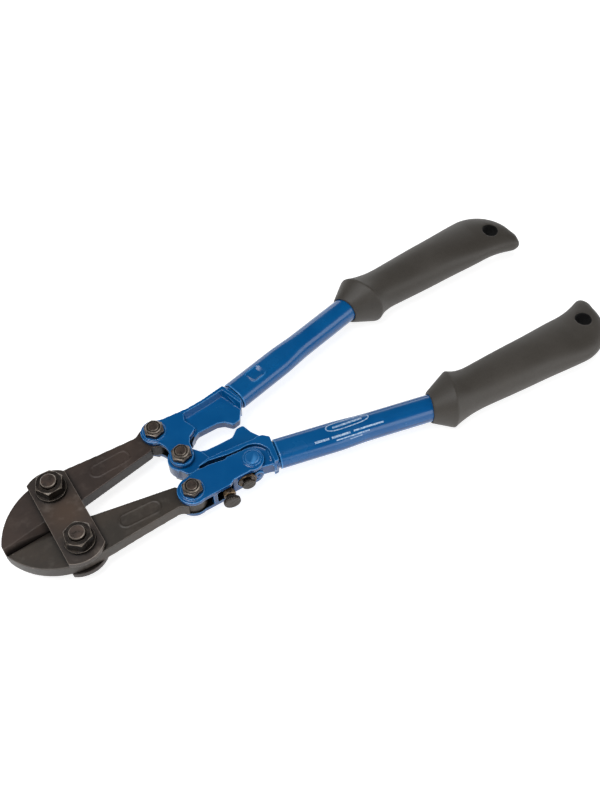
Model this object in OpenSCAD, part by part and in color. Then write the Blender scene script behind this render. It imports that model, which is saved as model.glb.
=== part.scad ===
// Compound lever bolt cutters, jaws closed, lying flat.
// The tool is drawn with the jaw tips at x = 0 and its middle plane at z = 0, then placed so
// that it is centred in x and its bolt heads and grips touch z = 0. Side A is +Y, side B is -Y.

/* [Overall] */
// Distance from the jaw tips to the ends of the grips
overall_l = 352.6; // [350:0.2:356]
// Height of the middle plane above the surface the tool lies on
rest_h = 15; // [14.8:0.1:16]
// Radial clearance of every pin in its hole
pin_clear = 0.05; // [0.03:0.01:0.1]
// Gap between flat faces that slide on each other
face_gap = 0.1; // [0.05:0.05:0.15]

/* [Jaws] */
// Thickness of the jaw plates
jaw_t = 7.9; // [7.6:0.1:8]
// Distance from the tips to the jaw bolts
jaw_x = 34; // [33:0.5:35]
// Distance of each jaw bolt from the centre line
jaw_y = 17; // [16.5:0.1:17.5]
// Radius of the round outer edge of the jaw heads
head_r = 36.4; // [36:0.1:37]
// Lean of the cutting line towards side B at the tips
cut_lean = 1.8; // [0:0.1:2.2]
// Width of the ground bevel at the tips
bevel_tip = 2.5; // [2:0.5:4]
// Width of the ground bevel at the straps
bevel_root = 5; // [4:0.5:6]
// Half thickness of the cutting edges
edge_half = 0.3; // [0.2:0.1:0.5]
// Distance from the tips to the pivots in the jaw tails
tail_x = 94.3; // [94:0.1:95]
// Distance of the tail pivots from the centre line
tail_y = 21; // [20.8:0.1:21.2]

/* [Straps] */
// Thickness of the straps
strap_t = 3.2; // [3:0.1:3.4]
// Width of the straps
strap_w = 20.2; // [19.5:0.1:21]
// Radius of the convex strap ends
strap_end_r = 15; // [14:0.5:16]
// Distance from the centre line to the ends of the straps
strap_half = 28.8; // [28:0.1:29.5]

/* [Fasteners] */
// Shank radius of the jaw bolts
jaw_bolt_r = 4; // [3.9:0.1:4.1]
// Width across the flats of the jaw bolts and nuts
jaw_nut_af = 13; // [12.5:0.5:13]
// Height of the jaw nuts
jaw_nut_h = 5.6; // [5:0.1:6.5]
// Outer radius of the jaw washers
washer_r = 7.8; // [7.5:0.1:8]
// Thickness of the jaw washers
washer_t = 2; // [1.6:0.1:2.2]
// Shank radius of the pivot bolts
pivot_r = 3; // [2.9:0.1:3.1]
// Width across the flats of the pivot bolts and nuts
pivot_af = 9.8; // [9.5:0.1:10]
// Height of the pivot nuts
pivot_nut_h = 4.4; // [4:0.1:4.8]
// Height of the round collar on top of each pivot nut
nut_collar_h = 1.4; // [1:0.1:1.8]

/* [Brackets] */
// Distance from the tips to the centre pivot
centre_x = 99.4; // [99.2:0.1:99.6]
// Half thickness of the forged brackets and the adjuster link
forge_half = 6.6; // [6.4:0.1:6.8]
// Half thickness of the thin webs
web_half = 2.5; // [2:0.1:3]
// Height of the round bosses under the pivot nuts
boss_h = 0.6; // [0.4:0.1:0.8]
// Radial clearance of the bore in bracket B around the centre bolt
centre_play = 1.8; // [1.7:0.1:2]
// Distance from the tips to the adjuster rivet
rivet_x = 129.5; // [129:0.1:130]

/* [Handles] */
// Lean of the straight part of each tube away from the centre line, in degrees
tube_angle = 12.7; // [12.5:0.1:13]
// Outer radius of the tubes
tube_r = 7.5; // [7.4:0.1:7.6]
// Wall thickness of the tubes
tube_wall = 1.3; // [1.2:0.1:1.6]
// Half width of the flattened front end of the tubes
tube_flat_w = 8.5; // [8.4:0.1:8.7]
// Half height of the flattened front end of the tubes
tube_flat_h = 6.3; // [6.2:0.1:6.5]
// Half width of the ridge round each grip collar
collar_w = 15.6; // [15:0.1:16]
// Half height of the ridge round each grip collar, no more than the rest height
collar_h = 15; // [14.5:0.1:15]
// Slant of the grip collars away from the centre line, in degrees
collar_tilt = 20; // [18:0.5:22]
// Radius of the hang holes
hang_r = 4.6; // [4:0.1:5]

/* [Hidden] */
$fn = 48;
eps = 0.02;

jaw_gap = 0.05;
jaw_half = jaw_t / 2;
slot_half = jaw_half + face_gap;
strap_z = slot_half;
washer_z = strap_z + strap_t;
jaw_nut_z = washer_z + washer_t;
jaw_bolt_top = jaw_nut_z + jaw_nut_h + 1.9;
boss_z = forge_half + boss_h;
pivot_bolt_top = boss_z + pivot_nut_h + 0.2;
pivot_head_h = 3.6;
boss_r = 6.1;
// Depth of the countersinks in the nuts, and the wall and edge of the lock nut collars
sink = 0.6;
collar_wall = 1.25;
collar_edge = 0.6;
sunk_step = 0.35;
head_c = [34.3, -9.5];
tail = [tail_x, tail_y];
centre = [centre_x, 0];
rivet = [rivet_x, -tail_y];

// Tubes: the front end is square to the tube's own axis, and the grip end bends parallel
tube_x = 143.6;
tube_y = 22.2;
flat_l = 32;
taper_l = 20;
straight_l = 93;
bend_r = 60;
bend_angle = tube_angle - 3;
bend_l = bend_r * bend_angle * PI / 180;
tube_l = straight_l + bend_l + 66;
tang_l = 30;

// Adjusting screws stick out of the side of the link, square to tube B
front_screw = [110.3, -31];
rear_screw = [122.3, -28.4];
front_screw_r = 2;
rear_screw_r = 2.2;
front_head_r = 4.5;
front_head_h = 2.6;
rear_head_r = 3.7;
rear_head_h = 1.8;
// Lock nut of the front screw
lock_r = 3.3;
lock_h = 3;
// Front face of the block between the link cheeks that carries the rear screw
block_y = -26.9;
// Lock ring in its seat in the block, dished round the screw
ring_r = 5;
ring_h = 1.3;
ring_seat = -1.5;
dish_h = 0.8;

// ---- helpers ----

// Points on an arc about c from angle a0 to angle a1
function arc(c, r, a0, a1, n = 10) =
  [for (i = [0:n]) let (a = a0 + (a1 - a0) * i / n) c + r * [cos(a), sin(a)]];

// Rounds the corner q of an outline between its neighbours p and s with radius q[2]
function fillet(p, q, s, n) =
  let (a = [p[0] - q[0], p[1] - q[1]], b = [s[0] - q[0], s[1] - q[1]],
       u = a / norm(a), v = b / norm(b), half = acos(u * v) / 2,
       c = [q[0], q[1]] + (u + v) / norm(u + v) * q[2] / sin(half),
       t = q[2] / tan(half), e0 = [q[0], q[1]] + u * t - c, e1 = [q[0], q[1]] + v * t - c,
       a0 = atan2(e0[1], e0[0]), d = atan2(e1[1], e1[0]) - a0,
       turn = d > 180 ? d - 360 : d < -180 ? d + 360 : d)
  q[2] <= 0 ? [[q[0], q[1]]] : arc(c, q[2], a0, a0 + turn, n);

// Outline from corners [x, y, radius]
function rounded(pts, n = 6) =
  [for (i = [0:len(pts) - 1])
    let (m = len(pts)) each fillet(pts[(i + m - 1) % m], pts[i], pts[(i + 1) % m], n)];

// Smooth step from 0 at a to 1 at b
function ease(x, a, b) = let (t = max(0, min(1, (x - a) / (b - a)))) t * t * (3 - 2 * t);

module place() translate([-overall_l / 2, 0, rest_h]) children();
module side_b() mirror([0, 1, 0]) children();
module slab(half) linear_extrude(2 * half, center = true) children();
module cheeks(z0, z1) for (s = [0, 1]) mirror([0, 0, s]) translate([0, 0, z0])
  linear_extrude(z1 - z0) children();
module hole(c, r, half = 30) translate([c[0], c[1], -half]) cylinder(r = r, h = 2 * half);
module at(c) translate([c[0], c[1], 0]) children();

// Hexagon prism with its top corners chamfered
module hex(af, h, chamfer = 0.9) intersection() {
  cylinder(r = af / 2 / cos(30), h = h, $fn = 6);
  union() {
    cylinder(r = af, h = h - chamfer);
    translate([0, 0, h - chamfer])
      cylinder(r1 = af / 2 / cos(30), r2 = af / 2 / cos(30) - 2 * chamfer, h = chamfer);
  }
}
// Plain nut with a countersunk thread
module nut(af, h, r) difference() {
  hex(af, h, 0.6);
  translate([0, 0, -1]) cylinder(r = r + pin_clear, h = h + 2);
  translate([0, 0, h - sink]) cylinder(r1 = r + pin_clear, r2 = r + pin_clear + 2 * sink, h = 2 * sink);
}
// Lock nut with a round collar above its flats
module lock_nut(r) difference() {
  union() {
    hex(pivot_af, pivot_nut_h - nut_collar_h, 0.8);
    cylinder(r = r + collar_wall, h = pivot_nut_h - collar_edge);
    translate([0, 0, pivot_nut_h - collar_edge])
      cylinder(r1 = r + collar_wall, r2 = r + collar_wall - collar_edge, h = collar_edge);
  }
  translate([0, 0, -1]) cylinder(r = r + pin_clear, h = pivot_nut_h + 2);
  translate([0, 0, pivot_nut_h - sink]) cylinder(r = r + pin_clear + sunk_step, h = 2 * sink);
}
// Bolt standing head down: the head's bearing face is at z0 and the domed end at z1
module bolt(r, af, head_h, z0, z1, turn = 0) {
  dome = 0.5;
  translate([0, 0, z0 - eps]) cylinder(r = r, h = z1 - z0 - dome + eps);
  translate([0, 0, z1 - dome]) cylinder(r1 = r, r2 = r - dome, h = dome);
  translate([0, 0, z0]) rotate([180, 0, turn]) hex(af, head_h);
}

// Solid through a row of sections that all have the same number of points, counted
// anticlockwise as seen from the far end
module loft(rings) {
  n = len(rings[0]);
  m = len(rings);
  polyhedron([for (r = rings) each r], concat(
    [[for (i = [0:n - 1]) i]],
    [[for (i = [0:n - 1]) m * n - 1 - i]],
    [for (k = [0:m - 2], i = [0:n - 1]) let (j = (i + 1) % n)
      each [[k * n + i, (k + 1) * n + i, k * n + j], [k * n + j, (k + 1) * n + i, (k + 1) * n + j]]]));
}

// ---- straps and jaws ----

module strap() difference() {
  linear_extrude(strap_t) intersection() {
    translate([jaw_x - strap_w / 2, -strap_half]) square([strap_w, 2 * strap_half]);
    union() {
      for (s = [-1, 1]) translate([jaw_x - 1, s * (strap_half - strap_end_r)])
        circle(r = strap_end_r, $fn = 96);
      translate([jaw_x - strap_w, strap_end_r - strap_half])
        square([2 * strap_w, 2 * (strap_half - strap_end_r)]);
    }
  }
  for (s = [-1, 1]) hole([jaw_x, s * jaw_y], jaw_bolt_r + pin_clear);
}

module top_strap() color("#4a4542") place() translate([0, 0, strap_z]) strap();
module bottom_strap() color("#4a4542") place() translate([0, 0, -strap_z - strap_t]) strap();

module jaw_bolts() color("#3c3836") place() for (s = [-1, 1]) at([jaw_x, s * jaw_y])
  bolt(jaw_bolt_r, jaw_nut_af, rest_h - jaw_nut_z, -jaw_nut_z, jaw_bolt_top, 12 * s);

module jaw_nuts() color("#45403e") place() for (s = [-1, 1])
  translate([jaw_x, s * jaw_y, jaw_nut_z]) rotate(s > 0 ? 4 : 20) nut(jaw_nut_af, jaw_nut_h, jaw_bolt_r);

module jaw_washers() color("#4f4a48") place() for (s = [-1, 1], z = [washer_z, -jaw_nut_z])
  translate([jaw_x, s * jaw_y, z]) difference() {
    cylinder(r = washer_r, h = washer_t);
    translate([0, 0, -1]) cylinder(r = jaw_bolt_r + pin_clear, h = washer_t + 2);
  }

// Ground bevel along the cutting edge: a prism over the face, wider at the straps
module bevel(lean) {
  x0 = -1;
  x1 = 27;
  top = jaw_half + 1;
  slope = 1 + 1 / (jaw_half - edge_half);
  y0 = lean + jaw_gap;
  y1 = lean * (1 - x1 / jaw_x) + jaw_gap;
  polyhedron(
    [[x0, y0 - 4, edge_half], [x0, y0, edge_half], [x0, y0 + bevel_tip * slope, top], [x0, y0 - 4, top],
     [x1, y1 - 4, edge_half], [x1, y1, edge_half], [x1, y1 + bevel_root * slope, top], [x1, y1 - 4, top]],
    [[0, 1, 2, 3], [7, 6, 5, 4], [0, 4, 5, 1], [1, 5, 2], [5, 6, 2], [2, 6, 7, 3], [3, 7, 4, 0]]);
}

// Plain raised outline with round ends on the upper face of each arm
panel = [66, 17.4];
panel_half = 7.4;
panel_r = 3.9;
panel_line = 0.55;
relief = 0.2;
module stadium(r) {
  for (s = [-1, 1]) translate([panel_half * s, 0]) circle(r = r);
  square([2 * panel_half, 2 * r], center = true);
}
module arm_panel() translate([panel[0], panel[1], jaw_half - eps]) rotate(2)
  linear_extrude(relief + eps) difference() {
    stadium(panel_r);
    stadium(panel_r - panel_line);
  }

// One jaw on side A: a round head with the edge, a long arm and an eye in its tail
module jaw(lean, eye_r) {
  jaw_plate(lean, eye_r);
  arm_panel();
}
module jaw_plate(lean, eye_r) difference() {
  slab(jaw_half) difference() {
    union() {
      intersection() {
        translate(head_c) circle(r = head_r, $fn = 120);
        polygon([[0, lean + jaw_gap], [jaw_x, jaw_gap], [jaw_x + 12, 6], [jaw_x + 6, 40], [0, 40]]);
      }
      polygon(rounded([[jaw_x, jaw_gap, 0], [45, 5.4, 6], [88, 13.1, 0], [tail_x, tail_y, 0],
        [88.5, 27.1, 0], [84.5, 24.5, 5], [62, 25.5, 60], [45, 26.6, 20], [jaw_x, 26.9, 0]]));
      at(tail) circle(r = eye_r);
    }
  }
  hole([jaw_x, jaw_y], jaw_bolt_r + pin_clear);
  hole(tail, pivot_r + pin_clear);
  for (s = [0, 1]) mirror([0, 0, s]) bevel(lean);
}

module jaw_a() color("#3a3330") place() jaw(-cut_lean, 8.2);
module jaw_b() color("#3a3a34") place() side_b() jaw(cut_lean, 7);

// ---- bracket A ----

// End of the slot that takes the jaw tail and the eye of bracket B
slot_x = 108.6;
// Full-thickness outline: clevis head over the jaw tail and over the eye of bracket B, the rim
// along the outside and the shoulder that faces the tube
module plate_a_outline() {
  at(tail) circle(r = boss_r + 1.2);
  at(centre) circle(r = boss_r + 0.3);
  polygon(rounded([[94.3, 28.3, 0], [101, 26.1, 8], [115.8, 25.1, 20], [125.7, 25.8, 20],
    [139.8, 28.1, 1.2], [141.3, 22.6, 0], [143.7, 14.4, 1], [141.6, 11.4, 0], [114, 12.2, 0],
    [112.1, 10.5, 1.5], [108.9, 8.6, 1.5], [106.9, 5.3, 2], [106.1, 1, 0], [101, -6.2, 0],
    [93.2, 1, 1], [96, 8, 9], [92.6, 13.9, 0]]));
}
module web_a_outline() polygon(rounded([[107.6, 4.4, 0], [109.1, 6.6, 1], [111.6, 8.8, 2],
  [114.7, 10.4, 3], [126.2, 10.3, 4], [129.6, 9, 3], [133.2, 5, 1.5], [137.7, 5.9, 1.5],
  [140, 9.4, 4], [142.3, 13, 0.5], [141, 26, 0], [124, 24, 0], [107.6, 24, 0]]));
// Tapered recess above the web, open towards the centre line
function at_z(outline, z) = [for (q = outline) [q[0], q[1], z]];
recess_floor = [[117, 2], [144.6, 2], [140.9, 13.2], [137.2, 24.3], [125.1, 22.8], [113.6, 21.8],
  [112.3, 18.9], [114.3, 12.8]];
recess_top = [[116, 2], [145.9, 2], [142.1, 13.3], [138.1, 25.7], [124.6, 24], [112.7, 23.2],
  [111.1, 18.9], [113.3, 12.8]];
module recess_a() for (s = [0, 1]) mirror([0, 0, s])
  loft([at_z(recess_floor, web_half), at_z(recess_top, forge_half + eps)]);

// Section of the tube at a distance s from its front end, shrunk by d: flattened, then round
tube_n = 24;
function tube_ring(s, d) = let (t = ease(s, flat_l, flat_l + taper_l),
  r = tube_flat_h + (tube_r - tube_flat_h) * t - d, dy = (tube_flat_w - tube_flat_h) * (1 - t),
  a = max(0, min(bend_angle, (s - straight_l) / bend_r * 180 / PI)),
  past = max(0, s - straight_l - bend_l),
  x = min(s, straight_l) + bend_r * sin(a) + past * cos(a),
  y = -bend_r * (1 - cos(a)) - past * sin(a))
  [for (i = [0:tube_n - 1]) let (b = 360 * (i + 0.5) / tube_n, u = dy * sign(cos(b)) + r * cos(b))
    [x + u * sin(a), y + u * cos(a), r * sin(b)]];
function moved(ring, dx) = [for (q = ring) [q[0] + dx, q[1], q[2]]];
// Solid with the section of the flattened tube end, from x0 over the length l
module oval(x0, l, d) loft([moved(tube_ring(0, d), x0), moved(tube_ring(0, d), x0 + l)]);
module on_tube() translate([tube_x, tube_y, 0]) rotate(tube_angle) children();
// Collar that the tube butts against, and the tang inside the tube
module tang() on_tube() {
  oval(-4, 1.4, -0.2);
  oval(-3, 3 - face_gap, 0.9);
  oval(-5, tang_l + 5, tube_wall + 0.1);
}

module bracket_a() color("#00549a") place() difference() {
  union() {
    difference() {
      slab(forge_half) plate_a_outline();
      recess_a();
    }
    slab(web_half) web_a_outline();
    tang();
    for (c = [tail, centre]) at(c) slab(boss_z) circle(r = boss_r);
  }
  slab(slot_half) translate([slot_x - 30, -20]) square([30, 65]);
  for (c = [tail, centre]) hole(c, pivot_r + pin_clear);
}

// Long dimple crimped into the upper side of tube A and the lower side of tube B
crimp_s = 16;
crimp_r = 6;
crimp_l = 6;
crimp_deep = 1.6;
module crimp() on_tube() translate([crimp_s, 0, tube_flat_h - crimp_deep + crimp_r])
  rotate([0, 90, 0]) {
    cylinder(r = crimp_r, h = crimp_l, center = true);
    for (s = [0, 1]) mirror([0, 0, s]) translate([0, 0, crimp_l / 2])
      cylinder(r1 = crimp_r, r2 = crimp_r - crimp_deep, h = 3.5);
  }

module pivot_bolts_a() color("#46403c") place() for (c = [tail, centre]) at(c)
  bolt(pivot_r, pivot_af, pivot_head_h, -boss_z, pivot_bolt_top, 10);
module pivot_nuts_a() color("#554b42") place() for (c = [tail, centre])
  translate([c[0], c[1], boss_z]) rotate(14) lock_nut(pivot_r);

// ---- tubes ----

tube_ss = [0, flat_l, flat_l + 5, flat_l + 10, flat_l + 15, flat_l + taper_l, straight_l,
  straight_l + bend_l / 3, straight_l + bend_l * 2 / 3, straight_l + bend_l];
module tube() difference() {
  on_tube() difference() {
    loft([for (s = concat(tube_ss, [tube_l])) tube_ring(s, 0)]);
    loft([for (s = concat([-1], tube_ss, [tube_l + 1])) tube_ring(s, tube_wall)]);
  }
  crimp();
}
module tube_a() color("#00549a") place() tube();
module tube_b() color("#00549a") place() side_b() mirror([0, 0, 1]) tube();

// ---- grips ----

lip_x = 229.6;
lip_r = 8.5;
ridge_x = 242.4;
hang = [338.2, 42.4];
grip_n = 28;
body_top = 11.3;
// The slant of the collar has faded out at this station
upright_x = 266;
// Exponent that makes the grip sections slightly squarer than ellipses
squareness = 0.9;

// Where the bore for the tube starts, measured along the tube
bore_s = 60;
// Middle line, half width and half height of a grip at station x
function grip_mid(x) = 40.9 + 2.5 * ease(x, 222, 252) + 0.042 * max(0, x - 252);
function body_w(x) = 11.8 + 2.2 * ease(x, 240, 300) + 2.1 * ease(x, 292, 330);
function body_h(x) = body_top - 4.6 * ease(x, 290, 350);
// Length of the neck behind the collar
neck_l = 19;
// A cone rises from the lip to the ridge and a hollow neck falls from it to the body r
function collar(x, r, ridge) = x < ridge_x
  ? lip_r + (ridge - lip_r) * (x - lip_x) / (ridge_x - lip_x)
  : r + (ridge - r) * pow(1 - min(1, (x - ridge_x) / neck_l), 2.2);
grip_xs = [lip_x, 233, 238, ridge_x, 243.4, 245, 247, 249.5, 252.5, 256, 260, 265, 272, 282, 292, 302,
  311, 319];

// Section between the points o and i of the plan outline, h high each way
function section(o, i, h) = let (c = (o + i) / 2, w = (o - i) / 2)
  [for (k = [0:grip_n - 1]) let (a = 360 * (k + 0.5) / grip_n, u = cos(a), v = sin(a),
    q = c + w * sign(u) * pow(abs(u), squareness)) [q[0], q[1], h * sign(v) * pow(abs(v), squareness)]];
function body_section(x) = let (w = collar(x, body_w(x), collar_w), m = [x, grip_mid(x)],
  a = collar_tilt * (1 - ease(x, ridge_x, upright_x)), side = w * [-sin(a), cos(a)])
  section(m + side, m - side, collar(x, body_h(x), collar_h));

// At the end the sections fan round to a beak that points at the centre line: the outer side is
// an arc up to straight_t, and the beak is rounded from tip_t
end_x = 327;
beak_y = 30;
straight_t = 0.75;
tip_t = 0.86;
turn_y = 39.3;
top_y = grip_mid(end_x) + body_w(end_x);
inner_y = grip_mid(end_x) - body_w(end_x);
bulge = 0.9;
function end_outer(t) = t < straight_t
  ? [end_x + (overall_l - bulge - end_x) * sin(t * 120), turn_y + (top_y - turn_y) * cos(t * 120)]
  : [overall_l - bulge * max(0, (tip_t - t) / (tip_t - straight_t)),
    turn_y - (turn_y - beak_y) * (t - straight_t) / (1 - straight_t)];
function end_inner(t) = [end_x + 22.5 * t, inner_y - 4.4 * pow(t, 2.2)];
// The last sections shrink about their middles, which rounds the beak
function end_section(t) = let (o = end_outer(t), i = end_inner(t), c = (o + i) / 2,
  k = sqrt(1 - 0.85 * pow(max(0, (t - tip_t) / (1 - tip_t)), 2)))
  section(c + (o - c) * k, c + (i - c) * k, k * (body_h(end_x) - 2 * t - 3 * pow(t, 4)));
end_ts = [0, 0.08, 0.16, 0.24, 0.32, 0.4, 0.48, 0.56, 0.64, 0.7, 0.75, 0.8, 0.86, 0.91, 0.95, 0.98, 1];
grip_rings = concat([for (x = grip_xs) body_section(x)], [for (t = end_ts) end_section(t)]);

module grip() difference() {
  loft(grip_rings);
  on_tube() loft([for (s = concat([bore_s], [for (t = tube_ss) if (t > bore_s) t], [tube_l]))
    tube_ring(s, -eps)]);
  hole(hang, hang_r);
}
module grip_a() color("#4a4744") place() grip();
module grip_b() color("#4a4744") place() side_b() grip();

// ---- adjuster link ----

// Both cheeks: an eye over the tail of jaw B and a round end over the rivet
link_end = rivet + [-0.9, 0.1];
rivet_boss_r = 4.9;
module link_outline() {
  translate([tail_x, -tail_y]) circle(r = 8);
  translate(link_end) circle(r = 6.9);
  polygon(rounded([[tail_x, -13, 0], [100, -11.8, 8], [108.7, -12.2, 0], [117.8, -13.9, 0.5],
    [118.6, -13.1, 0.5], [link_end[0], -14, 0], [rivet_x, -27.7, 0], [126.6, -27.6, 1.5],
    [124.8, -26.5, 1], [115.3, -26.7, 1.5], [112.6, -28.5, 1.5], [tail_x, -28.5, 0]]));
}
// Corner of the post between the cheeks
post = [102.2, -28.4];
module adjuster_link() color("#00549a") place() difference() {
  union() {
    cheeks(slot_half, forge_half) link_outline();
    at([tail_x, -tail_y]) cheeks(slot_half, boss_z) circle(r = boss_r);
    at(rivet) cheeks(slot_half, boss_z) circle(r = rivet_boss_r);
    at(post) slab(forge_half - 1) square([2.4, 4]);
    slab(forge_half - eps) polygon(rounded([[114.3, -24.7, 0], [114.3, block_y, 1.5],
      [125.9, block_y, 1], [125.9, -24.7, 0]]));
  }
  hole([tail_x, -tail_y], pivot_r + pin_clear);
  hole(rivet, pivot_r + pin_clear);
  along_screw(rear_screw, -6) cylinder(r = rear_screw_r + pin_clear, h = 12);
  along_screw(rear_screw, ring_seat) cylinder(r = ring_r + 0.25, h = 6);
}
module link_pivot_bolt() color("#46403c") place() at([tail_x, -tail_y])
  bolt(pivot_r, pivot_af, pivot_head_h, -boss_z, pivot_bolt_top, 10);
module link_pivot_nut() color("#5c5142") place() translate([tail_x, -tail_y, boss_z])
  rotate(14) lock_nut(pivot_r);

// ---- bracket B ----

// Plate between the cheeks: the eye on the centre bolt, the arm and the tongue in the link
module core_b_outline() {
  at(centre) circle(r = 7.7);
  polygon(rounded([[99.4, 7.7, 0], [106, 3.5, 3], [110, -1.5, 3], [112, -8, 0], [141, -11.5, 0],
    [142.7, -20, 0], [141.4, -28.6, 1], [139.6, -29.3, 1], [136.5, -28, 1], [131.8, -26.9, 0.5],
    [128, -26.2, 0.5], [127.6, -24, 0.5], [119, -23.8, 1.5], [117.5, -20.2, 1], [105.5, -20.2, 1.5],
    [104.6, -14.8, 1.5], [118.5, -14.8, 0.5], [118.5, -12.2, 0.5], [110, -10.2, 0.5],
    [103.6, -10.4, 1], [97.6, -10.6, 2], [91.5, 0, 0]]));
}
module web_b_outline() polygon(rounded([[107, 1, 0], [113, -1.4, 6], [128.5, -1.8, 4], [133, 1.8, 1.5],
  [137.1, 1.8, 1.2], [138.7, -4, 4], [141.5, -9, 3], [143, -12, 0], [107, -12, 0]]));
// Rail along the link, pocket rim round its end and the shoulder that faces the tube
module rail_b_outline() difference() {
  polygon(rounded([[103.8, -9.9, 0.3], [109.4, -8.6, 1], [116.4, -8.8, 0], [136.6, -11, 0],
    [138.4, -10.4, 0.8], [141.4, -11.2, 1.2], [144.4, -14, 1.5], [143, -20, 0], [141, -29, 0.8],
    [120, -28.4, 0], [103.8, -15, 0]]));
  translate([130, -22.3]) circle(r = 9.8);
  polygon([[100, -10.6], [109.5, -9.9], [119.9, -12], [128, -12.8], [130, -22.3], [139.75, -22.3],
    [138, -31], [100, -31]]);
}
// Round lug with a small blind hole beside the rear screw
lug = [129.1, -28.25];
lug_r = 2.9;
lug_hole_r = 0.8;
module bracket_b() color("#00549a") place() difference() {
  union() {
    slab(jaw_half) core_b_outline();
    slab(web_half) web_b_outline();
    slab(forge_half) rail_b_outline();
    side_b() mirror([0, 0, 1]) tang();
    along_screw(lug, -6) cylinder(r = lug_r, h = 6);
  }
  hole(centre, pivot_r + centre_play);
  hole(rivet, pivot_r + pin_clear);
  along_screw(front_screw, -14.5) cylinder(r = front_screw_r + pin_clear, h = 12);
  along_screw(lug, -4) cylinder(r = lug_hole_r, h = 6);
}
rivet_head_r = 3.9;
rivet_head_h = 0.8;
module adjuster_rivet() color("#00549a") place() at(rivet) {
  slab(boss_z + 0.5) circle(r = pivot_r);
  for (s = [0, 1]) mirror([0, 0, s]) translate([0, 0, boss_z])
    cylinder(r1 = rivet_head_r, r2 = rivet_head_r - 0.6, h = rivet_head_h);
}

// ---- adjusting screws ----

// Stands children on the axis of a screw, s out from the point p
module along_screw(p, s) at(p) rotate([90, 0, -tube_angle]) translate([0, 0, s]) children();
// Disc with a small chamfer on both edges
module disc(r, h, c = 0.4) {
  cylinder(r1 = r - c, r2 = r, h = c);
  translate([0, 0, c]) cylinder(r = r, h = h - 2 * c);
  translate([0, 0, h - c]) cylinder(r1 = r, r2 = r - c, h = c);
}
module front_adjusting_screw() color("#5a5048") place() {
  along_screw(front_screw, -14.3) cylinder(r = front_screw_r, h = 17);
  along_screw(front_screw, 2) disc(front_head_r, front_head_h);
}
module front_lock_nut() color("#6a5c4c") place() along_screw(front_screw, -2.9)
  difference() {
    disc(lock_r, lock_h, 0.5);
    translate([0, 0, -1]) cylinder(r = front_screw_r + pin_clear, h = 6);
  }
module rear_adjusting_screw() color("#5a5048") place() {
  along_screw(rear_screw, -4) cylinder(r = rear_screw_r, h = 5.5);
  along_screw(rear_screw, 0.8) disc(rear_head_r, rear_head_h);
}
module rear_lock_ring() color("#6a5c4c") place() along_screw(rear_screw, ring_seat + eps)
  difference() {
    cylinder(r = ring_r, h = ring_h);
    translate([0, 0, -1]) cylinder(r = rear_screw_r + pin_clear, h = 4);
    translate([0, 0, ring_h - dish_h])
      cylinder(r1 = ring_r - 1.4, r2 = ring_r - 0.5, h = dish_h + 0.1);
  }

top_strap();
bottom_strap();
jaw_bolts();
jaw_nuts();
jaw_washers();
jaw_a();
jaw_b();
bracket_a();
pivot_bolts_a();
pivot_nuts_a();
tube_a();
grip_a();
adjuster_link();
link_pivot_bolt();
link_pivot_nut();
bracket_b();
adjuster_rivet();
tube_b();
grip_b();
front_adjusting_screw();
front_lock_nut();
rear_adjusting_screw();
rear_lock_ring();
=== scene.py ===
import math

import bmesh
import bpy
import numpy as np
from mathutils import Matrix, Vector


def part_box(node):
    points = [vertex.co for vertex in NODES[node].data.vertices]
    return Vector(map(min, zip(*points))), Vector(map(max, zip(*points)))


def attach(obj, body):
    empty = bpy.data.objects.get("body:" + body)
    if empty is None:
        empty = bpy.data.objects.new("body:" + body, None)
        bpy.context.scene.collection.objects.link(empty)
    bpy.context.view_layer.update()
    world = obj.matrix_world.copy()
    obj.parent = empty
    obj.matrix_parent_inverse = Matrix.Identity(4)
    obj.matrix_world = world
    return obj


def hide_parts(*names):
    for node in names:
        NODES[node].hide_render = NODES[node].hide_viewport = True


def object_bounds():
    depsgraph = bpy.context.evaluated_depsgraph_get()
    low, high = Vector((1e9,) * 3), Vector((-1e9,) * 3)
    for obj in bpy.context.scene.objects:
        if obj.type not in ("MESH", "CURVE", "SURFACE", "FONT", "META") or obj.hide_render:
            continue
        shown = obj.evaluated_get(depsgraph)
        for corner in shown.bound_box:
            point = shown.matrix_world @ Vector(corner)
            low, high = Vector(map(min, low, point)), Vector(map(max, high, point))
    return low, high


# Bolt cutters lying flat with the jaws closed. The tubes, the grips and the two adjusting screws are
# remade smooth from the formulas of part.scad. Every other CAD node stays, with modifiers and a material.
# Lengths are millimetres of the tool, with the jaw tips at x = 0 and the middle plane at z = 0.

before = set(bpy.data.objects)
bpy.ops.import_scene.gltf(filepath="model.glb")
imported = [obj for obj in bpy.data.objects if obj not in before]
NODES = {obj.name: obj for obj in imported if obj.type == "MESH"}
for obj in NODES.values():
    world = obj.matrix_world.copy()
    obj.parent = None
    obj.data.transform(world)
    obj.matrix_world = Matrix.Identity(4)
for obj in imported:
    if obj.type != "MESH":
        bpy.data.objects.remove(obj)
CAD_LO, CAD_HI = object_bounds()
MM = 0.001
TIP_X = CAD_LO[0]
MID_Z = (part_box("jaw_a")[0][2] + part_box("jaw_a")[1][2]) / 2
LENGTH = (CAD_HI[0] - CAD_LO[0]) / MM

# Middle of the head
HEAD_X = 34
# Near-black painted shade in the clevis slots: the station where it ends, and the heights between which
# it fades out
SLOT_SHADE_END_X = 111.5
SLOT_SHADE_Z = (4.6, 5.2)

# Front end, slant and sections of tube A; tube B is its mirror image, with the crimp below
TUBE_X = 143.6
TUBE_Y = 22.2
LEAN = math.radians(12.7)
TUBE_R = 7.5
TUBE_WALL = 1.3
FLAT_W = 8.5
FLAT_H = 6.3
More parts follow.
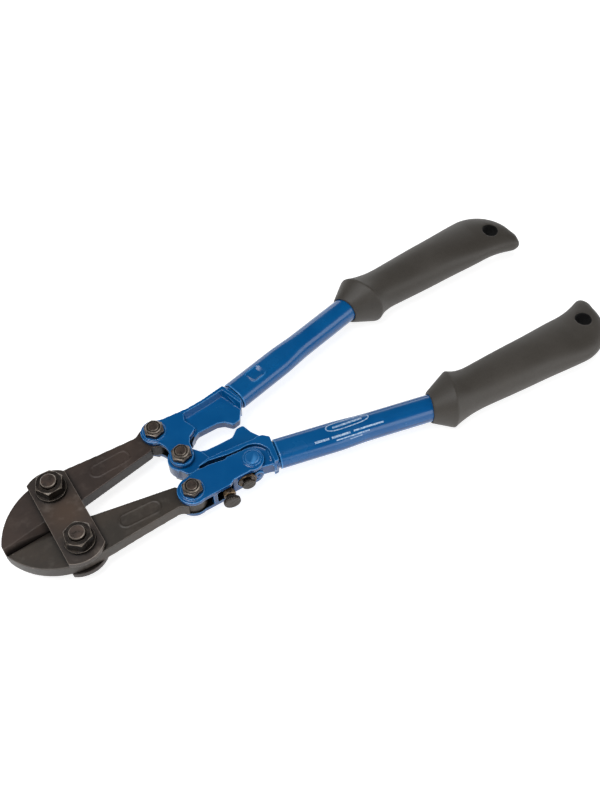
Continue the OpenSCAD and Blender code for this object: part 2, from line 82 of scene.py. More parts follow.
# Lengths along the tube: flattened, tapering to round, end of the straight part, bend, and the whole
FLAT_L = 32.0
TAPER_L = 20.0
STRAIGHT_L = 93.0
BEND_R = 60.0
BEND = math.radians(9.7)
BEND_L = BEND_R * BEND
TUBE_L = STRAIGHT_L + BEND_L + 66

# Crimp: a round die pressed into the flat, with sloping ends and softened rims
CRIMP_S = 16
CRIMP_R = 6.0
CRIMP_DEEP = 1.6
CRIMP_HALF = 3
CRIMP_SLOPE = 3.5
CRIMP_FALL = 1.5
CRIMP_SOFT = 0.35

# Grip: collar lip and ridge, neck, and the station where the collar's slant has faded out
LIP_X = 229.6
LIP_R = 8.5
RIDGE_X = 242.4
RIDGE_W = 15.6
RIDGE_H = 15.0
TILT = math.radians(20)
NECK_L = 19
UPRIGHT_X = 266
# Exponent that makes the sections slightly squarer than ellipses
SQUARENESS = 0.9
# Inset that keeps the smooth grips within the size of the CAD's faceted ones
SKIN = 0.07
# End of the grip: an arc on the outer side up to STRAIGHT_T, and a beak rounded from TIP_T
END_X = 327.0
BEAK_Y = 30.0
TURN_Y = 39.3
STRAIGHT_T = 0.75
TIP_T = 0.86
BULGE = 0.9
HANG = (338.2, 42.4)
HANG_R = 4.6
# Where the bore for the tube starts, measured along the tube
BORE_S = 60


def placed(p, side=1):
    """A point of the tool in the scene; side is -1 for the mirror image on side B."""
    return (TIP_X + p[0] * MM, side * p[1] * MM, MID_Z + p[2] * MM)


def ease(x, a, b):
    """Smooth step from nought at a to one at b."""
    t = min(1.0, max(0.0, (x - a) / (b - a)))
    return t * t * (3 - 2 * t)


def steps(a, b, step):
    """Stations from a to b, without b."""
    return list(np.arange(a, b, step))


def spread(a, b, count):
    """Evenly spread stations from a to b, both ends included."""
    return list(np.linspace(a, b, count))


def circle(count):
    """Angles of a full turn, without the repeated last one."""
    return np.linspace(0, 2 * math.pi, count, endpoint=False)


def signed_power(u, power):
    """A power of u that keeps its sign; below one, it makes an ellipse squarer."""
    return math.copysign(abs(u) ** power, u)


# ---------------------------------------------------------------- node helpers


def rgb(text):
    """A #rrggbb colour in sRGB, as a linear colour."""
    c = [int(text[i:i + 2], 16) / 255 for i in (1, 3, 5)]
    return tuple(v / 12.92 if v <= 0.04045 else ((v + 0.055) / 1.055) ** 2.4 for v in c) + (1.0,)


class Mat:
    """A node material with short helpers. Its textures follow the object's own coordinates, in metres."""

    def __init__(self, name, rough, metallic, spec=0.5, coat=0.0):
        self.material = bpy.data.materials.new(name)
        self.material.use_nodes = True
        self.tree = self.material.node_tree
        self.tree.nodes.clear()
        self.shader = self.node("ShaderNodeBsdfPrincipled")
        self.link(self.shader.outputs[0], self.node("ShaderNodeOutputMaterial").inputs[0])
        self.shader.inputs["Roughness"].default_value = rough
        self.shader.inputs["Metallic"].default_value = metallic
        self.shader.inputs["Specular IOR Level"].default_value = spec
        self.shader.inputs["Coat Weight"].default_value = coat
        self.shader.inputs["Coat Roughness"].default_value = 0.1
        self.place = self.node("ShaderNodeTexCoord").outputs["Object"]

    def node(self, kind, **settings):
        made = self.tree.nodes.new(kind)
        for key, value in settings.items():
            setattr(made, key, value)
        return made

    def link(self, a, b):
        self.tree.links.new(a, b)

    def put(self, socket, value):
        """Links a socket, or sets a number, a linear colour or a #rrggbb text."""
        if isinstance(value, bpy.types.NodeSocket):
            self.link(value, socket)
        else:
            socket.default_value = rgb(value) if isinstance(value, str) else value

    def noise(self, scale, detail, rough=0.55, distortion=0.0):
        n = self.node("ShaderNodeTexNoise")
        n.inputs["Scale"].default_value = scale
        n.inputs["Detail"].default_value = detail
        n.inputs["Roughness"].default_value = rough
        n.inputs["Distortion"].default_value = distortion
        self.link(self.place, n.inputs["Vector"])
        return n.outputs["Fac"]

    def math(self, operation, a, b=0.0):
        n = self.node("ShaderNodeMath", operation=operation)
        self.put(n.inputs[0], a)
        self.put(n.inputs[1], b)
        return n.outputs[0]

    def distance(self, dx, dy):
        squares = self.math("MULTIPLY", dx, dx), self.math("MULTIPLY", dy, dy)
        return self.math("SQRT", self.math("ADD", *squares))

    def ramp(self, value, lo, hi, a=0.0, b=1.0):
        """Smooth change from a to b while the value goes from lo to hi."""
        n = self.node("ShaderNodeMapRange", interpolation_type="SMOOTHSTEP")
        n.inputs["From Min"].default_value = lo
        n.inputs["From Max"].default_value = hi
        n.inputs["To Min"].default_value = a
        n.inputs["To Max"].default_value = b
        self.link(value, n.inputs["Value"])
        return n.outputs["Result"]

    def mix(self, share, a, b):
        n = self.node("ShaderNodeMix", data_type="RGBA")
        self.link(share, n.inputs["Factor"])
        self.put(n.inputs["A"], a)
        self.put(n.inputs["B"], b)
        return n.outputs["Result"]

    def bump(self, height, strength, depth, after=None):
        n = self.node("ShaderNodeBump")
        n.inputs["Strength"].default_value = strength
        n.inputs["Distance"].default_value = depth * MM
        self.link(height, n.inputs["Height"])
        if after is not None:
            self.link(after, n.inputs["Normal"])
        return n.outputs[0]

    def xyz(self, vector):
        n = self.node("ShaderNodeSeparateXYZ")
        self.link(vector, n.inputs[0])
        return n.outputs

    def edges(self, lo, hi):
        """One on sharp outer edges, from how much the surface turns."""
        return self.ramp(self.node("ShaderNodeNewGeometry").outputs["Pointiness"], lo, hi)

    def level(self):
        """Nought on walls and one on level faces, from the surface normal."""
        return self.math("ABSOLUTE", self.xyz(self.node("ShaderNodeNewGeometry").outputs["Normal"])[2])

    def crevice_shade(self, reach, lo, hi):
        """Share of painted shade: one deep inside gaps and corners, nought on open faces."""
        n = self.node("ShaderNodeAmbientOcclusion", samples=8)
        n.inputs["Distance"].default_value = reach * MM
        return self.ramp(n.outputs["AO"], lo, hi, 1.0, 0.0)

    def finish(self, colour, rough=None, normal=None):
        self.link(colour, self.shader.inputs["Base Color"])
        if rough is not None:
            self.link(rough, self.shader.inputs["Roughness"])
        if normal is not None:
            self.link(normal, self.shader.inputs["Normal"])
            self.link(normal, self.shader.inputs["Coat Normal"])
        return self.material


# ---------------------------------------------------------------- materials


def forged_steel(name, base, warm, light, highlight_from, patch=None, wall=None):
    """Dark forging with brown clouds and light flecks; the light colour is also a painted highlight on
    sharp edges, from the given sharpness up.

    A patch is a rubbed, cloudy area round the middle of the head; the wall colour is painted shade on the
    upright sides.
    """
    k = Mat(name, rough=0.45, metallic=0.15, spec=0.35)
    grain = k.noise(900, 3, 0.6)
    cloud = k.noise(45, 4, 0.6, 0.4)
    colour = k.mix(k.ramp(cloud, 0.4, 0.66), base, warm)
    if patch:
        x, y, _ = k.xyz(k.place)
        dx = k.math("MULTIPLY", k.math("SUBTRACT", x, TIP_X + HEAD_X * MM), 0.9)
        away = k.math("ADD", k.distance(dx, y), k.math("MULTIPLY", cloud, 14 * MM))
        colour = k.mix(k.ramp(away, 7 * MM, 24 * MM), patch, colour)
    colour = k.mix(k.ramp(k.noise(160, 3), 0.5, 0.8, 0.0, 0.3), colour, light)
    # Painted shade on the upright sides
    if wall:
        colour = k.mix(k.ramp(k.level(), 0.05, 0.5), wall, colour)
    # Painted highlight on sharp edges
    colour = k.mix(k.edges(highlight_from, highlight_from + 0.045), colour, light)
    # Painted shade in gaps and corners
    colour = k.mix(k.crevice_shade(5, 0.4, 0.92), colour, "#120e0c")
    mottle = k.math("ADD", k.math("MULTIPLY", grain, 0.5), k.math("MULTIPLY", cloud, 0.5))
    normal = k.bump(cloud, 0.2, 0.12, k.bump(grain, 0.25, 0.03))
    return k.finish(colour, k.ramp(mottle, 0.3, 0.7, 0.34, 0.5), normal)


def blue_paint(name, slot_shade=False):
    """Gloss enamel, with painted highlights on sharp edges and painted shade on upright faces and in gaps
    and corners; the flag adds near-black painted shade on the level faces inside the clevis slots.
    """
    k = Mat(name, rough=0.25, metallic=0.0, spec=0.4, coat=0.2)
    cloud = k.noise(60, 3)
    colour = k.mix(k.ramp(cloud, 0.3, 0.7), "#00508b", "#005792")
    # Painted shade: upright faces darker than level ones
    colour = k.mix(k.ramp(k.level(), 0.0, 0.2), "#003a6e", colour)
    # Painted highlight on sharp edges
    colour = k.mix(k.edges(0.507, 0.545), colour, "#4288c4")
    # Near-black painted shade on the level faces inside the clevis slots
    if slot_shade:
        x, _, z = k.xyz(k.place)
        height = k.math("ABSOLUTE", k.math("SUBTRACT", z, MID_Z))
        within = k.ramp(height, SLOT_SHADE_Z[0] * MM, SLOT_SHADE_Z[1] * MM, 1.0, 0.0)
        inside = k.math("MULTIPLY", within, k.ramp(k.level(), 0.5, 0.8))
        inside = k.math("MULTIPLY", inside, k.math("LESS_THAN", x, TIP_X + SLOT_SHADE_END_X * MM))
        colour = k.mix(inside, colour, "#020910")
    # Painted shade in gaps and corners
    colour = k.mix(k.crevice_shade(12, 0.12, 0.45), colour, "#01060c")
    normal = k.bump(k.noise(140, 2), 0.12, 0.1, k.bump(k.noise(700, 2), 0.12, 0.03))
    return k.finish(colour, k.ramp(cloud, 0.3, 0.7, 0.2, 0.28), normal)


def fastener(name, base, warm, glint, wall):
    """Turned steel with a painted highlight on its chamfers and painted shade on its walls."""
    k = Mat(name, rough=0.35, metallic=0.5)
    cloud = k.noise(260, 3, 0.6)
    up = k.level()
    colour = k.mix(k.ramp(cloud, 0.45, 0.65), base, warm)
    # Painted shade on the walls
    colour = k.mix(k.ramp(up, 0.1, 0.5), wall, colour)
    # Painted highlight on the chamfers
    chamfer_highlight = k.math("MULTIPLY", k.ramp(up, 0.15, 0.45), k.ramp(up, 0.84, 0.93, 1.0, 0.0))
    colour = k.mix(k.math("MULTIPLY", chamfer_highlight, k.ramp(cloud, 0.3, 0.55, 0.5, 1.0)), colour, glint)
    # Painted shade in gaps and corners
    colour = k.mix(k.crevice_shade(2, 0.15, 0.5), colour, "#100c09")
    normal = k.bump(k.noise(1500, 2), 0.2, 0.02)
    return k.finish(colour, k.ramp(cloud, 0.3, 0.7, 0.24, 0.4), normal)


def moulded_grip(name):
    """Matt moulding, nearly black; inside the hang hole it is rougher and painted near-black shade."""
    k = Mat(name, rough=0.5, metallic=0.0, spec=0.4)
    cloud = k.noise(30, 4, 0.6)
    fine = k.noise(2600, 3, 0.7)
    colour = k.mix(k.ramp(cloud, 0.35, 0.7), "#38342f", "#403c37")
    colour = k.mix(k.ramp(fine, 0.35, 0.75, 0.0, 0.25), colour, "#5d5954")
    x, y, _ = k.xyz(k.place)
    dx = k.math("SUBTRACT", x, TIP_X + HANG[0] * MM)
    dy = k.math("SUBTRACT", k.math("ABSOLUTE", y), HANG[1] * MM)
    outside = k.ramp(k.distance(dx, dy), (HANG_R + 0.15) * MM, (HANG_R + 0.4) * MM)
    # Near-black painted shade inside the hang hole
    colour = k.mix(outside, "#040404", colour)
    rough = k.math("SUBTRACT", k.ramp(cloud, 0.3, 0.7, 0.9, 1.0), k.math("MULTIPLY", outside, 0.41))
    return k.finish(colour, rough, k.bump(fine, 0.35, 0.05))


def printed_paint(name):
    """Pale print, partly rubbed off."""
    k = Mat(name, rough=0.45, metallic=0.0, spec=0.3)
    return k.finish(k.mix(k.ramp(k.noise(900, 3, 0.6), 0.35, 0.6), "#6f93bd", "#b4cae2"))


def pale_floor(name):
    """Plain floor that glows a little, as a lit studio sweep does."""
    k = Mat(name, rough=0.75, metallic=0.0, spec=0.2)
    k.shader.inputs["Emission Color"].default_value = (1, 1, 1, 1)
    k.shader.inputs["Emission Strength"].default_value = 0.82
    return k.finish(k.mix(k.noise(3, 2), (0.48, 0.48, 0.48, 1), (0.52, 0.52, 0.52, 1)))


# Third colour: light flecks and the painted edge highlight, which starts at the sharpness given next; jaw
# A's wall colour is painted shade on its upright sides
JAW_A = forged_steel("jaw_steel_a", "#362d29", "#40342e", "#665b55", 0.515, wall="#231c19")
JAW_B = forged_steel("jaw_steel_b", "#35302b", "#3e362f", "#67605a", 0.515)
STRAP = forged_steel("strap_steel", "#362f2b", "#3f352f", "#857b72", 0.505, patch="#4f4036")
# Darker copy of the strap steel: painted shade on the lower strap, which the jaws shade
SHADED_LOW_STRAP = forged_steel("lower_strap_steel_shaded", "#2d2724", "#342b27", "#5b534e", 0.52)
BLUE = blue_paint("blue_enamel")
# Blue enamel with near-black painted shade in the clevis slots
CLEVIS = blue_paint("blue_enamel_slot_shade", slot_shade=True)
# Colours: base, warm, painted highlight on chamfers, painted shade on walls
BOLT = fastener("bolt_steel", "#4a413c", "#564840", "#7d736a", "#241f1c")
NUT = fastener("nut_steel", "#302b28", "#3c332b", "#847a70", "#191512")
SCREW = fastener("screw_steel", "#2c2825", "#3c342d", "#4d463f", "#332e29")
RING = fastener("tempered_ring_steel", "#33291f", "#5a4530", "#806a50", "#4c3f33")
GRIP = moulded_grip("grip_moulding")


# ---------------------------------------------------------------- mesh helpers


def new_object(name, data):
    o = bpy.data.objects.new(name, data)
    bpy.context.scene.collection.objects.link(o)
    return o


def mesh_from(name, verts, faces):
    """Smooth-shaded mesh with its normals facing out."""
    me = bpy.data.meshes.new(name)
    me.from_pydata([tuple(v) for v in verts], [], faces)
    bm = bmesh.new()
    bm.from_mesh(me)
    bmesh.ops.remove_doubles(bm, verts=bm.verts, dist=1e-7)
    bmesh.ops.recalc_face_normals(bm, faces=bm.faces)
    bm.to_mesh(me)
    bm.free()
    for p in me.polygons:
        p.use_smooth = True
    return me


def lofted(name, rings, side=1, ring_closed=False):
    """Mesh through rings of tool points; capped, or joined end to end when ring_closed."""
    n, m = len(rings[0]), len(rings)
    verts = [placed(p, side) for ring in rings for p in ring]
    faces = []
    for a in range(m if ring_closed else m - 1):
        b = (a + 1) % m
        for i in range(n):
            j = (i + 1) % n
            faces.append((a * n + i, a * n + j, b * n + j, b * n + i))
    if not ring_closed:
        faces += [tuple(range(n)), tuple((m - 1) * n + i for i in range(n))]
    return mesh_from(name, verts, faces)


def softened(o, voxel, smooth_steps, factor=0.5, keep=1.0):
    """Rounds a shape the way forging, paint and moulding do: even remesh, then smoothing."""
    r = o.modifiers.new("even", "REMESH")
    r.mode = "VOXEL"
    r.voxel_size = voxel * MM
    r.use_smooth_shade = True
    s = o.modifiers.new("soften", "SMOOTH")
    s.factor = factor
    s.iterations = smooth_steps
    if keep < 1:
        d = o.modifiers.new("thin", "DECIMATE")
        d.ratio = keep


def bevelled(o, width):
    w = o.modifiers.new("weld", "WELD")
    w.merge_threshold = 1e-6
    b = o.modifiers.new("edge", "BEVEL")
    b.width = width * MM
    b.segments = 2
    b.limit_method = "ANGLE"
    b.angle_limit = math.radians(28)
    b.harden_normals = True
    b.miter_outer = "MITER_ARC"


def painted(o, material):
    o.data.materials.clear()
    o.data.materials.append(material)


# ---------------------------------------------------------------- tubes


def flattened(s):
    """Radius of the round ends of the section at s, and how far they are set apart each way."""
    t = ease(s, FLAT_L, FLAT_L + TAPER_L)
    return FLAT_H + (TUBE_R - FLAT_H) * t, (FLAT_W - FLAT_H) * (1 - t)


def on_tube(s, u, z):
    """Point s along the middle line of tube A, u across it and z up."""
    a = max(0.0, min(BEND, (s - STRAIGHT_L) / BEND_R))
    past = max(0.0, s - STRAIGHT_L - BEND_L)
    x = min(s, STRAIGHT_L) + (BEND_R + u) * math.sin(a) + past * math.cos(a)
    y = (BEND_R + u) * math.cos(a) - BEND_R - past * math.sin(a)
    return (TUBE_X + x * math.cos(LEAN) - y * math.sin(LEAN),
            TUBE_Y + x * math.sin(LEAN) + y * math.cos(LEAN), z)


def crimped(s, u, z):
    """Height of the wall at s and u once the crimp is pressed in; z is its height before."""
    along = abs(s - CRIMP_S)
    r = CRIMP_R - CRIMP_FALL * max(0.0, along - CRIMP_HALF) / CRIMP_SLOPE
    if abs(u) >= r or along >= CRIMP_HALF + CRIMP_SLOPE:
        return z
    bottom = FLAT_H - CRIMP_DEEP + CRIMP_R - math.sqrt(r * r - u * u)
    near = max(0.0, CRIMP_SOFT - abs(z - bottom)) / CRIMP_SOFT
    return min(z, bottom) - near * near * CRIMP_SOFT / 4


def tube_ring(s, shrink, n, crimp=0):
    """Section of the tube at s; crimp is 1 for a crimp above, -1 below and 0 for none."""
    r, apart = flattened(s)
    r -= shrink
    ring = []
    for i in range(n):
        b = 2 * math.pi * (i + 0.5) / n
        u = apart * math.copysign(1, math.cos(b)) + r * math.cos(b)
        z = r * math.sin(b)
        if z * crimp > 0:
            z = crimp * crimped(s, u, abs(z))
        ring.append(on_tube(s, u, z))
    return ring


def make_tube(name, side, crimp, body, node):
    """Drawn tube with a rounded front edge; the stations are closest round the crimp."""
    n, fine_l, round_l = 80, 24, FLAT_L + TAPER_L + 2
    behind = steps(round_l, STRAIGHT_L, 6) + spread(STRAIGHT_L, STRAIGHT_L + BEND_L, 8) + [TUBE_L]
    outer = steps(0.4, fine_l, 0.5) + steps(fine_l, round_l, 1.5) + behind
    inner = [0.0, 0.4, 10, 20] + steps(fine_l, round_l, 3) + behind
    rings = [tube_ring(0.0, 0.35, n), tube_ring(0.1, 0.1, n)]
    rings += [tube_ring(s, 0.0, n, crimp) for s in outer]
    rings += [tube_ring(s, TUBE_WALL, n) for s in reversed(inner)]
    o = new_object(name, lofted(name, rings, side, ring_closed=True))
    painted(o, BLUE)
    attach(o, body)
    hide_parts(node)


make_tube("tube_a_drawn", 1, 1, "handle_a", "tube_a")
make_tube("tube_b_drawn", -1, -1, "handle_b", "tube_b")

# ---------------------------------------------------------------- grips

GRIP_N = 72


def grip_mid(x):
    """Middle line of grip A at station x, seen from above."""
    return 40.9 + 2.5 * ease(x, 222, 252) + 0.042 * max(0, x - 252)


def body_w(x):
    """Half width without the collar."""
    return 11.8 + 2.2 * ease(x, 240, 300) + 2.1 * ease(x, 292, 330)


def body_h(x):
    """Half height without the collar."""
    return 11.3 - 4.6 * ease(x, 290, 350)


def collar(x, r, ridge):
    """A cone rises from the lip to the ridge, and a hollow neck falls from it to the body r."""
    if x < RIDGE_X:
        return LIP_R + (ridge - LIP_R) * (x - LIP_X) / (RIDGE_X - LIP_X)
    return r + (ridge - r) * (1 - min(1.0, (x - RIDGE_X) / NECK_L)) ** 2.2


def section(outer, inner, h):
    """Section between two points of the plan outline, h high each way."""
    cx, cy = (outer[0] + inner[0]) / 2, (outer[1] + inner[1]) / 2
    wx, wy = (outer[0] - inner[0]) / 2, (outer[1] - inner[1]) / 2
    skin = 1 - SKIN / math.hypot(wx, wy)
    ring = []
    for k in range(GRIP_N):
        a = 2 * math.pi * (k + 0.5) / GRIP_N
        q = skin * signed_power(math.cos(a), SQUARENESS)
        ring.append((cx + wx * q, cy + wy * q, (h - SKIN) * signed_power(math.sin(a), SQUARENESS)))
    return ring


def body_section(x, inset=0.0):
    w = collar(x, body_w(x), RIDGE_W) - inset
    h = collar(x, body_h(x), RIDGE_H) - inset
    a = TILT * (1 - ease(x, RIDGE_X, UPRIGHT_X))
    dx, dy, y = -w * math.sin(a), w * math.cos(a), grip_mid(x)
    return section((x + dx, y + dy), (x - dx, y - dy), h)


TOP_Y = grip_mid(END_X) + body_w(END_X)
INNER_Y = grip_mid(END_X) - body_w(END_X)


def end_outer(t):
    """Outer side of the grip's end in plan: a quarter arc, then nearly straight to the beak."""
    if t < STRAIGHT_T:
        a = math.pi / 2 * t / STRAIGHT_T
        return (END_X + (LENGTH - BULGE - END_X) * math.sin(a), TURN_Y + (TOP_Y - TURN_Y) * math.cos(a))
    return (LENGTH - BULGE * max(0.0, (TIP_T - t) / (TIP_T - STRAIGHT_T)),
            TURN_Y - (TURN_Y - BEAK_Y) * (t - STRAIGHT_T) / (1 - STRAIGHT_T))


def end_inner(t):
    """Inner side of the grip's end in plan, which leans towards the centre line."""
    return (END_X + 22.5 * t, INNER_Y - 4.4 * t ** 2.2)


def end_section(t):
    """Sections that fan round to the beak; the last ones shrink about their middles, to round it."""
    o, i = end_outer(t), end_inner(t)
    c = ((o[0] + i[0]) / 2, (o[1] + i[1]) / 2)
    k = math.sqrt(1 - 0.85 * max(0.0, (t - TIP_T) / (1 - TIP_T)) ** 2)
    o = (c[0] + (o[0] - c[0]) * k, c[1] + (o[1] - c[1]) * k)
    i = (c[0] + (i[0] - c[0]) * k, c[1] + (i[1] - c[1]) * k)
    return section(o, i, k * (body_h(END_X) - 2 * t - 3 * t ** 4))


def subtract(o, cutters):
    """Cuts the cutters out of an object for good and removes them."""
    for c in cutters:
        b = o.modifiers.new("bool", "BOOLEAN")
        b.operation = "DIFFERENCE"
        b.solver = "EXACT"
        b.object = c
    cut = bpy.data.meshes.new_from_object(o.evaluated_get(bpy.context.evaluated_depsgraph_get()))
    o.modifiers.clear()
    o.data = cut
    for c in cutters:
        bpy.data.objects.remove(c)


def make_grip(name, side, body, node):
    """Moulded grip with its bore and hang hole; the rings are closest at the collar and the beak."""
    xs = steps(LIP_X + 0.3, RIDGE_X, 0.9) + steps(RIDGE_X, UPRIGHT_X, 0.7) + steps(UPRIGHT_X, END_X, 3)
    ts = spread(0, TIP_T, 30) + [0.89, 0.92, 0.95, 0.97, 0.985, 0.995, 1]
    rings = [body_section(LIP_X, 0.25)] + [body_section(x) for x in xs] + [end_section(t) for t in ts]
    o = new_object(name, lofted(name, rings, side))
    bore_ss = [BORE_S] + spread(STRAIGHT_L, STRAIGHT_L + BEND_L, 6) + [TUBE_L]
    bore = [tube_ring(s, -0.03, 48) for s in bore_ss]
    hole = [[(HANG[0] + HANG_R * math.cos(a), HANG[1] + HANG_R * math.sin(a), z) for a in circle(48)]
            for z in (-20, 20)]
    subtract(o, [new_object("bore", lofted("bore", bore, side)),
                 new_object("hole", lofted("hole", hole, side))])
    softened(o, 0.55, 4)
    painted(o, GRIP)
    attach(o, body)
    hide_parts(node)


make_grip("grip_a_moulded", 1, "handle_a", "grip_a")
make_grip("grip_b_moulded", -1, "handle_b", "grip_b")

# ---------------------------------------------------------------- CAD nodes that stay

PAINTED_FORGINGS = (("bracket_a", CLEVIS), ("bracket_b", BLUE), ("adjuster_link", CLEVIS))
# Bare forgings with their voxel size and smoothing steps
BARE_FORGINGS = (("jaw_a", JAW_A, 0.3, 2), ("jaw_b", JAW_B, 0.3, 2), ("top_strap", STRAP, 0.2, 2),
                 ("bottom_strap", SHADED_LOW_STRAP, 0.3, 1))
# Turned pieces by material and bevel
TURNED = ((BLUE, 0.25, ("adjuster_rivet",)),
          (BOLT, 0.2, ("jaw_bolts", "pivot_bolts_a", "link_pivot_bolt")),
          (NUT, 0.15, ("jaw_nuts", "jaw_washers", "pivot_nuts_a", "link_pivot_nut")),
          (RING, 0.12, ("front_lock_nut", "rear_lock_ring")))

for name, material in PAINTED_FORGINGS:
    softened(NODES[name], 0.3, 3, keep=0.6)
    painted(NODES[name], material)
for name, material, voxel, smooth_steps in BARE_FORGINGS:
    softened(NODES[name], voxel, smooth_steps, 0.4)
    painted(NODES[name], material)
for material, width, names in TURNED:
    for name in names:
        bevelled(NODES[name], width)
        painted(NODES[name], material)

# ---------------------------------------------------------------- knurled screws

SCREW_N = 144
TEETH = 24
TOOTH = 0.25
HATCH = 0.09
HATCH_PITCH = 0.95
# Clearance of the head at its seat and at its outer face, inside the CAD's plain head
SEAT_GAP = 0.03
FACE_GAP = 0.1
# Rounded rim of the head: share of its height, and how far it stands back there
RIM = ((0.0, 0.4), (0.14, 0.1), (0.22, 0.0), (0.5, 0.0), (0.78, 0.0), (0.86, 0.1), (1.0, 0.35))


def on_screw(p, s, r, a):
    """Point at the radius r and angle a about the axis of a screw, s out from p."""
    ax, ay = -math.sin(LEAN), -math.cos(LEAN)
    u, v = r * math.cos(a), r * math.sin(a)
    return (p[0] + ax * s - ay * u, p[1] + ay * s + ax * u, v)


def screw_ring(p, s, r, tooth=0.0, hatch=0.0):
    ring = []
    for a in 2 * math.pi * np.arange(SCREW_N) / SCREW_N:
        rr = r - tooth * (0.5 - 0.5 * math.cos(TEETH * a))
        across = 0.8 * rr * math.cos(a) + 0.6 * rr * math.sin(a)
        ring.append(on_screw(p, s + hatch * math.sin(2 * math.pi * across / HATCH_PITCH), rr, a))
    return ring


def knurled_screw(name, p, shank_r, start, seat, head_r, head_h, body, node):
    """Screw with a shank from start to seat, teeth round the head and a hatched outer face."""
    rings = [screw_ring(p, start, shank_r - 0.3), screw_ring(p, start + 0.3, shank_r),
             screw_ring(p, seat, shank_r), screw_ring(p, seat + 0.02, head_r - 0.5)]
    for share, back in RIM:
        s = seat + SEAT_GAP + (head_h - SEAT_GAP - FACE_GAP) * share
        rings.append(screw_ring(p, s, head_r - back, TOOTH if back < 0.3 else 0.1))
    for r in np.linspace(head_r - 0.5, 0.05, 22):
        rings.append(screw_ring(p, seat + head_h - FACE_GAP - 0.02, r, hatch=HATCH))
    o = new_object(name, lofted(name, rings))
    painted(o, SCREW)
    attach(o, body)
    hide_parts(node)


knurled_screw("front_screw_knurled", (110.3, -31), shank_r=2.0, start=-14.3, seat=2.0,
              head_r=4.5, head_h=2.6, body="front_screw", node="front_adjusting_screw")
knurled_screw("rear_screw_knurled", (122.3, -28.4), shank_r=2.2, start=-4.0, seat=0.8,
              head_r=3.7, head_h=1.8, body="rear_screw", node="rear_adjusting_screw")

# ---------------------------------------------------------------- printed marks on tube B

# Plain oval and bars where the photo has a printed label: places along the tube in millimetres, and
# places round it and widths in degrees, with 0 on top and 90 facing -Y
PRINT_LIFT = 0.03
OVAL_S = 40.3
OVAL_A = -17
OVAL_HALF_L = 12
OVAL_HALF_A = 20
OVAL_LINE = 5
OVAL_POWERS = (0.6, 0.8)
BARS = ((32, 48.5, -15, 9), (20, 28, 30, 9), (29.5, 40, 30, 9), (42, 59, 29, 7), (31.5, 50.5, 45, 5),
        (39, 46, 56, 3))


def round_tube_b(s, degrees):
    """Point on the flattened section at s, just above the paint, in the frame of tube A."""
    r, apart = flattened(s)
    arc = math.radians(degrees) * TUBE_R
    b = math.copysign(max(0.0, abs(arc) - apart) / r, arc)
    u = max(-apart, min(apart, arc)) + (r + PRINT_LIFT) * math.sin(b)
    return on_tube(s, u, (r + PRINT_LIFT) * math.cos(b))


def printed_strip(points, width):
    """Corners and quads of a strip, its width in degrees, that follows (place, degrees) points."""
    per_degree = math.pi * TUBE_R / 180
    verts = []
    for k, (s, a) in enumerate(points):
        s1, a1 = points[max(k - 1, 0)]
        s2, a2 = points[min(k + 1, len(points) - 1)]
        ds, da = s2 - s1, (a2 - a1) * per_degree
        length = math.hypot(ds, da)
        for f in (-0.5 * width, 0.5 * width):
            verts.append(placed(round_tube_b(s - f * per_degree * da / length, a + f * ds / length), -1))
    return verts, [(2 * k, 2 * k + 1, 2 * k + 3, 2 * k + 2) for k in range(len(points) - 1)]


def make_printed_marks():
    oval = [(OVAL_S + OVAL_HALF_L * signed_power(math.cos(t), OVAL_POWERS[0]),
             OVAL_A + OVAL_HALF_A * signed_power(math.sin(t), OVAL_POWERS[1]))
            for t in spread(0, 2 * math.pi, 97)]
    strips = [printed_strip(oval, OVAL_LINE)]
    strips += [printed_strip([(s, a) for s in spread(s0, s1, 24)], width) for s0, s1, a, width in BARS]
    verts, faces = [], []
    for strip_verts, strip_faces in strips:
        faces += [tuple(i + len(verts) for i in quad) for quad in strip_faces]
        verts += strip_verts
    o = new_object("printed_marks", mesh_from("printed_marks", verts, faces))
    painted(o, printed_paint("printed_paint"))
    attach(o, "handle_b")


make_printed_marks()

# ---------------------------------------------------------------- stage, camera, light

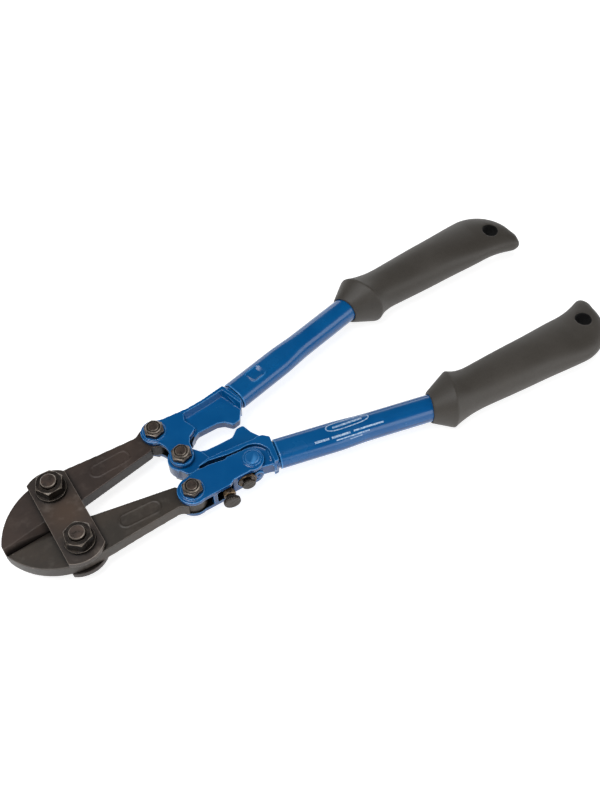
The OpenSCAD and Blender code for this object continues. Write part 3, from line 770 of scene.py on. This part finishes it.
# Radius and height of the stage in metres, and its number of corners
STAGE_R = 14.0
STAGE_H = 2.2
STAGE_N = 64
# Camera fitted to the photo with the tool lying flat
CAMERA_AT = (8.70, -257.50, 431.0)
CAMERA_AIM = (172.82, 0.89, 0)
LENS = 43.298


def stage_mesh():
    """Round floor with an upright rim, large enough to fill every view."""
    rim = [(STAGE_R * math.cos(a), STAGE_R * math.sin(a)) for a in circle(STAGE_N)]
    faces = [tuple(range(STAGE_N))]
    for i in range(STAGE_N):
        j = (i + 1) % STAGE_N
        faces.append((i, j, STAGE_N + j, STAGE_N + i))
    me = bpy.data.meshes.new("floor")
    me.from_pydata([(x, y, z) for z in (0, STAGE_H) for x, y in rim], [], faces)
    return me


floor = new_object("floor", stage_mesh())
painted(floor, pale_floor("pale_floor"))


def turned_to(o, at, aim):
    """Puts an object at a point, facing another."""
    o.location = at
    o.rotation_mode = "QUATERNION"
    o.rotation_quaternion = (Vector(aim) - Vector(at)).to_track_quat("-Z", "Y")


camera = new_object("camera", bpy.data.cameras.new("camera"))
camera.data.lens = LENS
camera.data.sensor_width = 36.0
turned_to(camera, placed(CAMERA_AT), placed(CAMERA_AIM))
bpy.context.scene.camera = camera


def softbox(name, at, aim, size, power):
    """Rectangular light; lengths in metres and power in watts."""
    light = bpy.data.lights.new(name, "AREA")
    light.shape = "RECTANGLE"
    light.size, light.size_y = size
    light.energy = power
    turned_to(new_object(name, light), at, aim)


softbox("key", (-0.45, 0.0, 1.25), (0, 0, 0), (0.9, 0.9), 13.6)
softbox("front_card", (0.72, -1.3, 0.6), (0.1, 0, 0.02), (1.75, 0.7), 11)
softbox("back_card", (0.75, 1.3, 0.42), (0.05, 0, 0.02), (1.8, 0.4), 4.5)

world = bpy.data.worlds.new("studio")
bpy.context.scene.world = world
world.use_nodes = True
world.node_tree.nodes["Background"].inputs["Color"].default_value = (1, 1, 1, 1)
world.node_tree.nodes["Background"].inputs["Strength"].default_value = 0.05
bpy.context.scene.view_settings.view_transform = "Standard"
